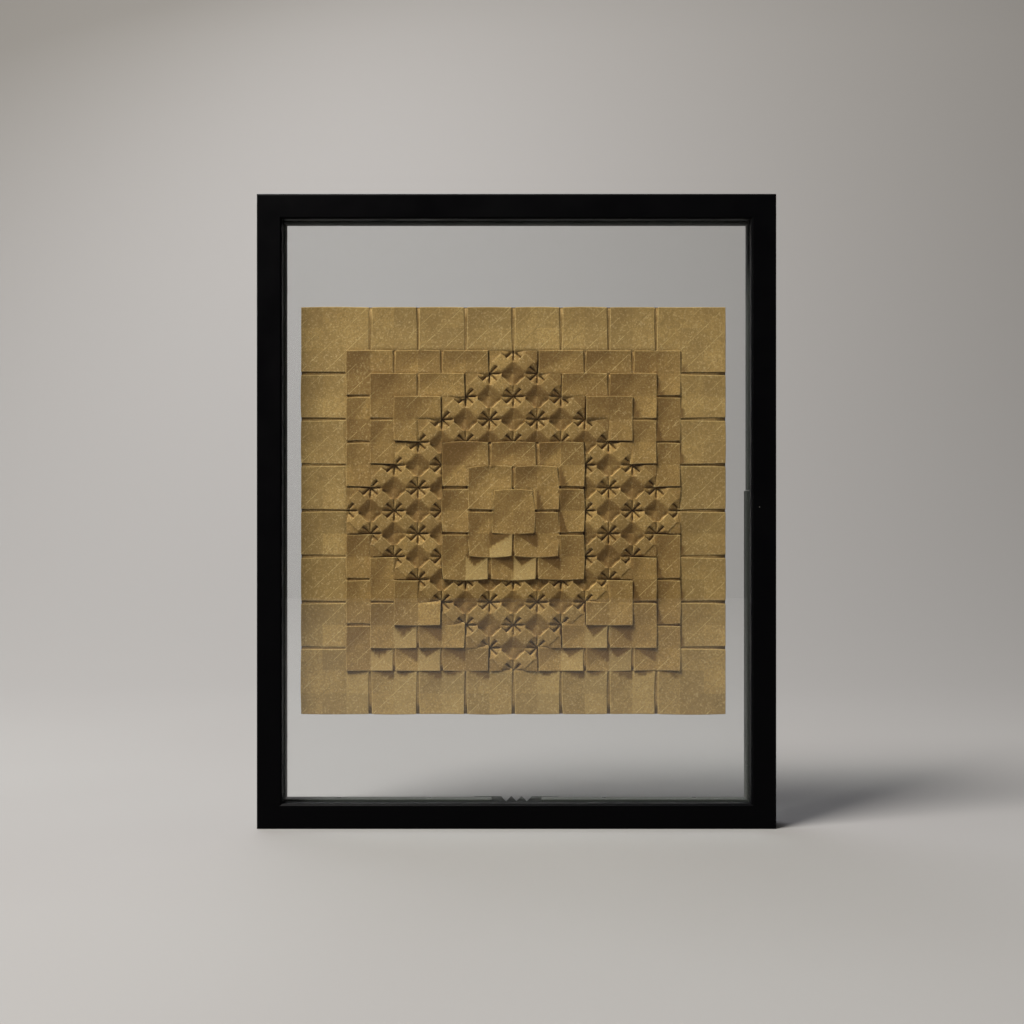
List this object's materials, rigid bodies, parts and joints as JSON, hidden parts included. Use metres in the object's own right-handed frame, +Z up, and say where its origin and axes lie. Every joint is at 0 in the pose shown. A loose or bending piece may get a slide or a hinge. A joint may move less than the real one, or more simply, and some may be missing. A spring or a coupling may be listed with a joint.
{
  "type": "framed origami tessellation",
  "caption": "Folded square of tan paper with pleated tiles and star flowers, held between two panes of glass in a narrow black mitred frame.",
  "frame": {"origin": "middle of the underside of the bottom rail", "axes": "+Z up, +X to the right seen from the front, the front faces -Y"},
  "size_m": [0.2286, 0.0195, 0.2794],
  "materials": {
    "black_lacquered_wood": "satin black lacquer",
    "black_strip": "gloss black lacquer",
    "clear_glass": "clear, polished",
    "tan_paper": "matte tan kraft paper, creased",
    "steel": "bright steel"
  },
  "bodies": {
    "root": {"top_rail": "black_lacquered_wood", "bottom_rail": "black_lacquered_wood", "left_stile": "black_lacquered_wood", "right_stile": "black_lacquered_wood", "mitre_nails": "steel", "front_glass": "clear_glass", "folded_sheet": "tan_paper", "back_glass": "clear_glass", "top_strip": "black_strip", "left_strip": "black_strip", "right_upper_strip": "black_strip", "right_lower_strip": "black_strip", "bottom_left_strip": "black_strip", "bottom_right_strip": "black_strip", "strip_brads": "steel", "toothed_hanger": "steel", "hanger_nails": "steel"}
  },
  "joints": []
}
